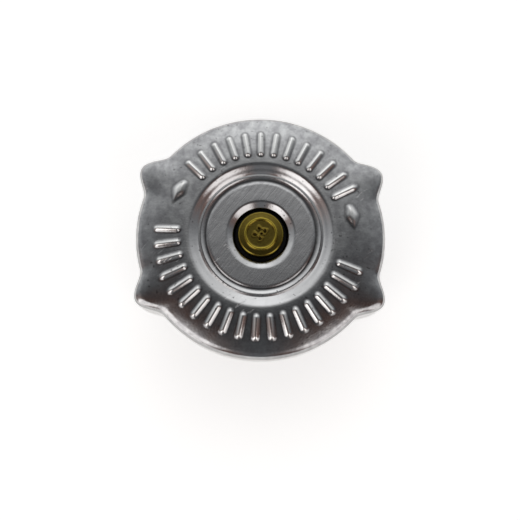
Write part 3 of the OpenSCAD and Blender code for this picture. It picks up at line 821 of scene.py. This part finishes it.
on_plate, in_groove, on_slope = [
    node(tree, "ShaderNodeMath", {0: fades[inner], 1: fades[outer]}, operation="MULTIPLY")
    for inner, outer in (
        ("past_lip", "inside_edge"), ("into_groove", "out_of_groove"), ("past_bead", "before_crest"),
    )
]
on_mark = node(tree, "ShaderNodeAttribute", attribute_name="painted_highlight").outputs["Fac"]
at_foot = node(tree, "ShaderNodeAttribute", attribute_name="foot").outputs["Fac"]
polished = node(tree, "ShaderNodeMath", {0: on_slope, 1: fades["on_lip"]}, operation="MAXIMUM")
painted_shade = node(tree, "ShaderNodeMath", {0: in_groove, 1: at_foot}, operation="MAXIMUM")
crown_tone, brush_tone, skirt_draw_and_shade_tone = [
    node(
        tree, "ShaderNodeMix",
        {"Factor": pattern, "A": colour(dark), "B": colour(light)}, data_type="RGBA",
    )
    for pattern, dark, light in (
        (fades["clean"], "#9a9a9c", "#c4c5c5"),
        (brushing, "#7c7c7e", "#f2f2f2"),
        (draw_lines, "#84817e", "#b0aeac"),
    )
]

# The looks lie over the bare crown in this order, each where its share says: the light on the marks is a
# painted highlight, and the dark of the skirt, the groove and the feet of the marks is painted shade.
tone = crown_tone
for share, over in (
    (on_mark, colour("#ececea")),
    (polished, colour("#d2d2d2")),
    (fades["specked"], colour("#3c3a38")),
    (on_plate, brush_tone),
    (fades["on_skirt"], skirt_draw_and_shade_tone),
    (painted_shade, colour("#2c2b2b")),
):
    tone = node(tree, "ShaderNodeMix", {"Factor": share, "A": tone, "B": over}, data_type="RGBA")
gloss = node(
    tree, "ShaderNodeMix", {"Factor": on_plate, "A": fades["crown_gloss"], "B": fades["plate_gloss"]},
)
relief = node(
    tree, "ShaderNodeBump", {"Height": patterns["waves"], "Strength": 1.0, "Distance": 0.07 * mm},
)
for height, strength, depth in (
    (fades["scratched"], fades["handled"], 0.03 * mm),
    (patterns["haze"], 1.0, 0.012 * mm),
    (brushing, on_plate, 0.03 * mm),
):
    relief = node(
        tree, "ShaderNodeBump",
        {"Height": height, "Strength": strength, "Distance": depth, "Normal": relief},
    )
shader = node(tree, "ShaderNodeBsdfPrincipled", {
    "Base Color": tone, "Roughness": gloss, "Normal": relief, "Metallic": 1.0,
})
node(tree, "ShaderNodeOutputMaterial", {"Surface": shader})

shell = piece("stainless_shell", section_bm, pressed_stainless, crease=60)
shell.modifiers.clear()

# Where each point of the plain round pressing goes: marks raised, tabs folded, the skirt cut higher at the
# front and back, and the ears drawn out. Angles are in degrees: a row of ribs has its middle and its number
# of ribs, and a dart has its middle and the way it points.
rib_len = 6.6 * mm
rib_w = 1.5 * mm
rib_h = 0.5 * mm
rib_spread = 1.0 * mm
rib_flat = 1.12
rib_gap = 1.5 * mm
rib_pitch = 9
rib_mid_r = crest_r + rib_gap + rib_len / 2
rib_rows = ((82, 13), (259, 19))
darts = ((153, 1), (12, -1))
dart_len = 6.4 * mm
dart_w = 3.8 * mm
dart_tail_w = 1.6 * mm
dart_spread = 1.5 * mm
dart_round = 0.3 * mm
dart_foot = 0.15
nose_slant = math.atan2(dart_w, dart_len)
tail_slant = math.atan2(dart_w - dart_tail_w, dart_len)
foot_w = 0.25 * mm
# How dark the painted shade at the feet of the marks is.
foot_shade_paint = 0.5
mark_window = 20
far_off = 1.0
exp_limit = 50

count = len(shell.data.vertices)
places = np.zeros(count * 3)
shell.data.vertices.foreach_get("co", places)
places = places.reshape(-1, 3)
radius = np.hypot(places[:, 0], places[:, 1])
height = places[:, 2].copy()
angle = np.degrees(np.arctan2(places[:, 1], places[:, 0])) % 360


def carried(name):
    """The values that the shell's points carry in one attribute."""
    values = np.zeros(count)
    shell.data.attributes[name].data.foreach_get("value", values)
    return values


def carry(name, values):
    """Gives the shell's points a new attribute with these values."""
    shell.data.attributes.new(name, "FLOAT", "POINT").data.foreach_set("value", values)


def turned_from(middle):
    """Each point's angle from a middle angle, in degrees from -180 to 180."""
    return (angle - middle + 180) % 360 - 180


raised = np.zeros(count)
from_foot = np.full(count, far_off)
on_top = (radius > crest_r) & (height > crown_z(radius) - sheet_t / 3) & (radius < rim_start_r)
for middle, marks in rib_rows:
    for i in range(marks):
        offset = turned_from(middle + rib_pitch * (i - (marks - 1) / 2))
        sideways = radius * np.radians(offset)
        lengthways = np.maximum(np.abs(radius - rib_mid_r) - (rib_len - rib_w) / 2, 0)
        from_ridge = np.where(np.abs(offset) < mark_window, np.hypot(sideways, lengthways), far_off)
        raised = np.maximum(raised, rib_h * smooth(rib_flat * (1 - from_ridge / rib_spread)))
        from_foot = np.minimum(from_foot, np.abs(from_ridge - rib_spread))
for middle, way in darts:
    offset = turned_from(middle)
    forwards = radius * np.radians(offset) * way
    past_barb = np.abs(radius - rib_mid_r) - dart_w / 2
    past_nose = past_barb * math.cos(nose_slant) + forwards * math.sin(nose_slant)
    past_side = past_barb * math.cos(tail_slant) - forwards * math.sin(tail_slant)
    past_tail = -forwards - dart_len / 2
    edges = np.clip(np.array([past_nose, past_side, past_tail]) / dart_round, -exp_limit, exp_limit)
    outside = dart_round * np.log(np.exp(edges).sum(axis=0))
    outside = np.where(np.abs(offset) < mark_window, outside, far_off)
    raised = np.maximum(raised, rib_h * smooth(dart_foot - outside / dart_spread))
    from_foot = np.minimum(from_foot, np.abs(outside - dart_foot * dart_spread))
height += np.where(on_top, raised, 0)
# The raised marks carry a painted highlight, which the material paints lighter.
carry("painted_highlight", np.where(on_top, smooth(raised / rib_h), 0))
# Painted shade at the feet of the marks, which the material paints dark.
carry("foot", np.where(on_top, foot_shade_paint * np.exp(-(from_foot / foot_w) ** 2), 0))

from_x_axis = np.abs((angle + 90) % 180 - 90)
in_tab = from_x_axis < tab_half
radius = np.where(in_tab, carried("fold_r"), radius)
height = np.where(in_tab & (height < fold_z + tiny), carried("fold_z"), height)
cut_up = skirt_rise * smooth((from_x_axis - tall_half) / skirt_step)
below_bend = np.clip((rim_mid.y - height) / (rim_mid.y - skirt_z), 0, 1)
height += cut_up * np.where(radius > body_r - 2 * sheet_t, below_bend, 0)

ears = np.zeros(count)
for middle in (ear_angle, 180 - ear_angle, 180 + ear_angle, 360 - ear_angle):
    share = np.clip(np.abs(turned_from(middle)) / ear_half, 0, 1)
    ears = np.maximum(ears, (1 + np.cos(math.pi * share)) / 2)
radius += carried("pull") * (ear_reach * ears + body_oval * np.cos(2 * np.radians(angle)))
places[:, 0] = radius * np.cos(np.radians(angle))
places[:, 1] = radius * np.sin(np.radians(angle))
places[:, 2] = height
shell.data.vertices.foreach_set("co", places.ravel())
shell.data.update()
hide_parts("shell")
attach(shell, "shell")

# Well washer: a flat rubber ring at the bottom of the well.
# It lies under the rivet's head and keeps dirt out of the swivel.
washer_low, washer_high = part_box("rivet_washer")
washer_bore_r = 3.42 * mm

well_washer = piece("well_washer", turned(
    washer_section(washer_bore_r, washer_high.x, washer_low.z, washer_high.z), easing=0.15 * mm, steps=128,
), moulded_rubber)
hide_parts("rivet_washer")
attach(well_washer, "core")

# Rivet: turned from brass bar, its head with a flat step, a raised ring and a dish.
# It goes down through shell, disc, gasket and bell, its tail is clinched under the bell's roof,
# and the punch that set it has left a group of small pits in the dish.
rivet_low, rivet_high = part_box("crown_rivet")
head_r = 5.85 * mm
head_foot = washer_high.z
rivet_bevel = 0.35 * mm
step_w = 1.5 * mm
ring_w = 0.9 * mm
ring_bevel = 0.175 * mm
dish_depth = 0.45 * mm
shoulder_r = 3.4 * mm
shank_r = 2.6 * mm
tail_lap = 2.0 * mm
tail_r = shank_r + tail_lap
ring_r = head_r - step_w
dish_r = ring_r - ring_w
dish_z = rivet_high.z - dish_depth
bell_roof = bell_high.z - bell_t
# Each pit has its angle in degrees, its distance from the axis and its radius.
pits = (
    (35, 1.3 * mm, 0.62 * mm), (106, 1.5 * mm, 0.5 * mm), (188, 1.5 * mm, 0.6 * mm),
    (262, 1.2 * mm, 0.62 * mm), (0, 0.2 * mm, 0.45 * mm),
)
pit_depth = 0.4 * mm
pit_lobes = 3
lobe_size = 0.15
burr_h = 0.1 * mm
burr_w = 0.2 * mm
spoke_cuts = 26

# Dull headed brass: olive where handling and heat have darkened it. The pits are painted nearly black, a
# painted shade, and the ring and edge are painted yellow, a painted highlight.
dull_brass, tree, where = new_material("dull_brass")
from_axis = axis_distance(tree, where)
up_axis = node(tree, "ShaderNodeSeparateXYZ", {"Vector": where}).outputs["Z"]
stain = node(tree, "ShaderNodeTexNoise", {
    "Vector": where, "Scale": 1 / (0.7 * mm), "Detail": 6.0, "Roughness": 0.65,
})
grain = node(tree, "ShaderNodeTexNoise", {"Vector": where, "Scale": 1 / (0.25 * mm), "Detail": 2.0})
on_ring, on_edge, in_pit = [
    node(tree, "ShaderNodeMapRange", {
        "Value": measure, "From Min": start, "From Max": end, "To Min": 0.0, "To Max": most,
    })
    for measure, start, end, most in (
        (up_axis, dish_z + 0.1 * mm, dish_z + 0.3 * mm, 1.0),
        (from_axis, head_r - 0.4 * mm, head_r - 0.25 * mm, 0.7),
        (up_axis, dish_z - 0.08 * mm, dish_z - 0.3 * mm, 0.8),
    )
]
# Painted highlight: the raised ring and the outer edge are painted yellow.
painted_highlight = node(tree, "ShaderNodeMath", {0: on_ring, 1: on_edge}, operation="MAXIMUM")
tone = colour("#5c4c1c")
# Painted shade: the pits are painted nearly black by their depth below the dish.
for share, over in ((stain, "#8f7f3c"), (painted_highlight, "#a8963e"), (in_pit, "#1c160a")):
    tone = node(tree, "ShaderNodeMix", {"Factor": share, "A": tone, "B": colour(over)}, data_type="RGBA")
gloss = node(tree, "ShaderNodeMapRange", {"Value": stain, "To Min": 0.3, "To Max": 0.14})
relief = node(tree, "ShaderNodeBump", {"Height": grain, "Strength": 1.0, "Distance": 0.012 * mm})
shader = node(tree, "ShaderNodeBsdfPrincipled", {
    "Base Color": tone, "Roughness": gloss, "Normal": relief, "Metallic": 1.0,
})
node(tree, "ShaderNodeOutputMaterial", {"Surface": shader})

rivet_bm = turned(
    [
        (0, rivet_low.z), (tail_r - rivet_bevel, rivet_low.z), (tail_r, rivet_low.z + rivet_bevel),
        (tail_r, bell_roof), (shank_r, bell_roof), (shank_r, disc_top), (shoulder_r, disc_top),
        (shoulder_r, head_foot), (head_r, head_foot), (head_r, dish_z - rivet_bevel),
        (head_r - rivet_bevel, dish_z), (ring_r, dish_z),
        (ring_r - ring_bevel, rivet_high.z - ring_bevel / 2), (ring_r - ring_w / 2, rivet_high.z),
        (dish_r + ring_bevel, rivet_high.z - ring_bevel / 2), (dish_r, dish_z), (0, dish_z),
    ],
    easing=0.09 * mm, steps=160,
)
dish_spokes = [
    e for e in rivet_bm.edges
    if all(abs(v.co.z - dish_z) < tiny for v in e.verts) and min(v.co.xy.length for v in e.verts) < tiny
]
bmesh.ops.subdivide_edges(rivet_bm, edges=dish_spokes, cuts=spoke_cuts)
for vert in rivet_bm.verts:
    if abs(vert.co.z - dish_z) < tiny and vert.co.xy.length < dish_r - rivet_bevel:
        for turn, out, pit_r in pits:
            pit_mid = out * Vector((math.cos(math.radians(turn)), math.sin(math.radians(turn))))
            from_mid = vert.co.xy - pit_mid
            lobes = 1 + lobe_size * math.sin(pit_lobes * math.atan2(from_mid.y, from_mid.x) + turn)
            away = from_mid.length * lobes
            vert.co.z -= pit_depth * float(smooth(1 - away / pit_r))
            vert.co.z += burr_h * math.exp(-((away - pit_r) / burr_w) ** 2)
rivet = piece("brass_rivet", rivet_bm, dull_brass)
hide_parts("crown_rivet")
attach(rivet, "core")

# Floor: a wide white sheet under the cap. Its own light, seen by the camera and in the metal only,
# brings it up to the white of paper, and the cap's shadow still falls on it.
floor_half = 3.0
paper_glow = 0.55
floor_bm = bmesh.new()
floor_place = Matrix.Translation((0, 0, cad_box[0][2]))
bmesh.ops.create_grid(floor_bm, x_segments=1, y_segments=1, size=floor_half, matrix=floor_place)
white_paper, tree, where = new_material("white_paper")
ray = node(tree, "ShaderNodeLightPath").outputs
seen = ray["Is Camera Ray"]
for other_ray in ("Is Glossy Ray", "Is Transmission Ray"):
    seen = node(tree, "ShaderNodeMath", {0: seen, 1: ray[other_ray]}, operation="MAXIMUM")
glow = node(tree, "ShaderNodeMath", {0: seen, 1: paper_glow}, operation="MULTIPLY")
shader = node(tree, "ShaderNodeBsdfPrincipled", {
    "Base Color": colour("#f2f2f0"), "Roughness": 0.9,
    "Emission Color": colour("#ffffff"), "Emission Strength": glow,
})
node(tree, "ShaderNodeOutputMaterial", {"Surface": shader})
floor = piece("floor", floor_bm, white_paper)
floor.modifiers.clear()

# Light: a dim room overhead, warm at the front corners, with a bright wall behind the cap and a pale one
# on the left, as at a photo table. A tall soft box stands at each front corner, and it is white all round
# at the horizon, where the paper sweeps up.
box_squeeze = 0.46
box_rise = math.radians(20)
box_edge = math.cos(math.radians(27))
box_full = math.cos(math.radians(14))
# Each soft box has its angle round the cap in degrees and its strength.
soft_boxes = ((226, 1.4), (315, 1.1))


def direction(around, rise):
    """The way from the cap to a place at an angle round it and an angle above the horizon."""
    return Vector((math.cos(rise) * math.cos(around), math.cos(rise) * math.sin(around), math.sin(rise)))


world = bpy.data.worlds.new("photo_table")
bpy.context.scene.world = world
world.use_nodes = True
tree = world.node_tree
way = node(tree, "ShaderNodeTexCoord").outputs["Generated"]
axes = node(tree, "ShaderNodeSeparateXYZ", {"Vector": way}).outputs
from_middle = node(tree, "ShaderNodeMath", {0: axes["X"]}, operation="ABSOLUTE")

# Each level runs between two values, from where it starts to where it ends on one measure of the direction.
levels = {
    name: node(
        tree, "ShaderNodeMapRange",
        {"Value": measure, "From Min": start, "From Max": end, "To Min": at_start, "To Max": at_end},
        interpolation_type=fade,
    )
    for name, measure, start, end, at_start, at_end, fade in (
        ("room", axes["Z"], 0.98, 0.75, 0.09, 0.2, "SMOOTHSTEP"),
        ("in_front", axes["Y"], 0.1, -0.15, 0.0, 1.0, "LINEAR"),
        ("beside", from_middle, 0.06, 0.26, 0.0, 1.0, "SMOOTHSTEP"),
        ("behind", axes["Y"], 0.02, 0.75, 0.0, 1.0, "SMOOTHSTEP"),
        ("wall_side", from_middle, 0.08, 0.4, 1.0, 0.62, "SMOOTHSTEP"),
        ("left_wall", axes["X"], -0.3, -0.95, 0.0, 0.2, "SMOOTHSTEP"),
        ("paper_edge", axes["Z"], 0.085, 0.062, 0.0, 1.0, "LINEAR"),
    )
}
warm = node(tree, "ShaderNodeMath", {0: levels["in_front"], 1: levels["beside"]}, operation="MULTIPLY")
room_tone = node(
    tree, "ShaderNodeMix",
    {"Factor": warm, "A": colour("#f2f6fc"), "B": colour("#f4c8bc")}, data_type="RGBA",
)
room = node(tree, "ShaderNodeBackground", {"Color": room_tone, "Strength": levels["room"]})
back_wall = node(
    tree, "ShaderNodeMath", {0: levels["behind"], 1: levels["wall_side"]}, operation="MULTIPLY",
)
walls = node(tree, "ShaderNodeMath", {0: back_wall, 1: levels["left_wall"]}, operation="ADD")
lamp_level = node(tree, "ShaderNodeMath", {0: walls, 1: levels["paper_edge"]}, operation="MAXIMUM")
squeezed = node(tree, "ShaderNodeMapping", {"Vector": way, "Scale": (1, 1, box_squeeze)})
tall_way = node(tree, "ShaderNodeVectorMath", {0: squeezed}, operation="NORMALIZE")
for side, strength in soft_boxes:
    box_way = direction(math.radians(side), box_rise)
    facing = node(tree, "ShaderNodeVectorMath", {0: tall_way, 1: box_way}, operation="DOT_PRODUCT")
    soft_box = node(
        tree, "ShaderNodeMapRange",
        {"Value": facing, "From Min": box_edge, "From Max": box_full, "To Min": 0.0, "To Max": strength},
        interpolation_type="SMOOTHSTEP",
    )
    lamp_level = node(tree, "ShaderNodeMath", {0: lamp_level, 1: soft_box}, operation="ADD")
lamps = node(tree, "ShaderNodeBackground", {"Color": colour("#ffffff"), "Strength": lamp_level})
both = node(tree, "ShaderNodeAddShader", {0: room, 1: lamps})
tree.links.new(both.outputs["Shader"], tree.nodes["World Output"].inputs["Surface"])
bpy.context.scene.view_settings.view_transform = "Standard"

# Camera: high over the front of the cap, a little to its left, as the cap was photographed.
# The plate's middle lies at target_px in the photo, and the shift puts it there.
image_px = 520
camera_target = Vector((0, 0, plate_z))
camera_height = math.radians(78.108)
camera_side = math.radians(-2.235)
camera_roll = math.radians(-3.258)
camera_distance = 198.76 * mm
pixels_per_mm = 3.914
target_px = (260.79, 234.14)

towards = direction(camera_side - math.pi / 2, camera_height)
level_right = Vector((math.cos(camera_side), math.sin(camera_side), 0))
level_up = towards.cross(level_right)
right = level_right * math.cos(camera_roll) - level_up * math.sin(camera_roll)
up = level_right * math.sin(camera_roll) + level_up * math.cos(camera_roll)
camera_data = bpy.data.cameras.new("camera")
camera_data.sensor_width = 36
camera_data.lens = camera_data.sensor_width * pixels_per_mm * camera_distance / mm / image_px
camera_data.shift_x = (image_px / 2 - target_px[0]) / image_px
camera_data.shift_y = (target_px[1] - image_px / 2) / image_px
camera_data.clip_start = 0.01
camera = bpy.data.objects.new("camera", camera_data)
camera_place = Matrix.Translation(camera_target + camera_distance * towards)
camera.matrix_world = camera_place @ Matrix((right, up, towards)).transposed().to_4x4()
bpy.context.scene.collection.objects.link(camera)
bpy.context.scene.camera = camera
